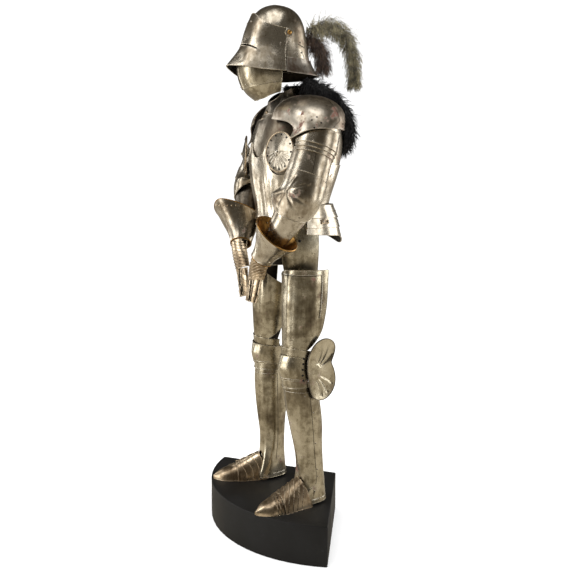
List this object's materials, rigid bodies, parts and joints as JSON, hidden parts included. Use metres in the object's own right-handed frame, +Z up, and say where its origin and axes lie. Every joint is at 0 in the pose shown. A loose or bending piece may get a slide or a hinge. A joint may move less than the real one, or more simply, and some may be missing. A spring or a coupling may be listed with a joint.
{
  "type": "suit of plate armour on a plinth",
  "caption": "Full suit of gothic plate armour with visored sallet, plumes and fur mantle, standing with hands together on a black sector plinth.",
  "frame": {"origin": "on the underside of the plinth, under the middle of the stance", "axes": "+Z up, the wearer faces -Y, the wearer's left is +X"},
  "size_m": [0.8018, 0.5658, 1.954],
  "materials": {
    "steel": "worn bare steel with brown patina",
    "dark_steel": "dull dark steel",
    "bronzed_steel": "steel with a bronze-brown patina",
    "rusted_steel": "steel with red-brown rust patches",
    "fur": "long black shaggy fur",
    "feather": "olive-brown feather barbs",
    "brown_feather": "dark brown feather barbs",
    "black_paint": "matt black paint on a board plinth"
  },
  "bodies": {
    "suit": {"arm_lower_lame_left": "steel", "arm_lower_lame_right": "steel", "arm_middle_lame_left": "steel", "arm_middle_lame_right": "steel", "arm_upper_lame_left": "steel", "arm_upper_lame_right": "steel", "backplate_lower": "steel", "backplate_upper": "steel", "besagew_left": "steel", "besagew_right": "steel", "bevor_chin": "steel", "bevor_face": "steel", "breastplate_plackart": "steel", "breastplate_upper": "steel", "couter_left": "steel", "couter_right": "steel", "cuisse_left": "steel", "cuisse_right": "steel", "culet_1": "steel", "culet_2": "steel", "culet_3": "steel", "fauld_1": "steel", "fauld_2": "steel", "fur_mantle": "fur", "gauntlet_cuff_left": "steel", "gauntlet_cuff_right": "steel", "gauntlet_fingers_left": "bronzed_steel", "gauntlet_fingers_right": "bronzed_steel", "gauntlet_hand_left": "bronzed_steel", "gauntlet_hand_right": "bronzed_steel", "gorget_back": "steel", "gorget_front": "rusted_steel", "greave_left": "steel", "greave_right": "steel", "helmet_skull": "steel", "helmet_tail": "rusted_steel", "hip_plate_left": "steel", "hip_plate_right": "steel", "lower_cannon_left": "steel", "lower_cannon_right": "dark_steel", "pauldron_left": "steel", "pauldron_right": "steel", "plinth": "black_paint", "plume_long": "feather", "plume_short": "brown_feather", "poleyn_left": "steel", "poleyn_lower_lame_left": "steel", "poleyn_lower_lame_right": "steel", "poleyn_right": "steel", "poleyn_upper_lame_left": "steel", "poleyn_upper_lame_right": "steel", "poleyn_wing_left": "steel", "poleyn_wing_right": "steel", "sabaton_instep_left": "bronzed_steel", "sabaton_instep_right": "bronzed_steel", "sabaton_toe_left": "bronzed_steel", "sabaton_toe_right": "bronzed_steel", "upper_cannon_left": "steel", "upper_cannon_right": "steel"},
    "visor": {"helmet_visor": "steel"}
  },
  "joints": [
    {"name": "visor_pivot", "type": "hinge", "parent": "suit", "child": "visor", "pos_m": [0, 0.022, 1.838], "axis": [-0.9903, 0.1392, 0], "range_deg": [0, 30]}
  ]
}
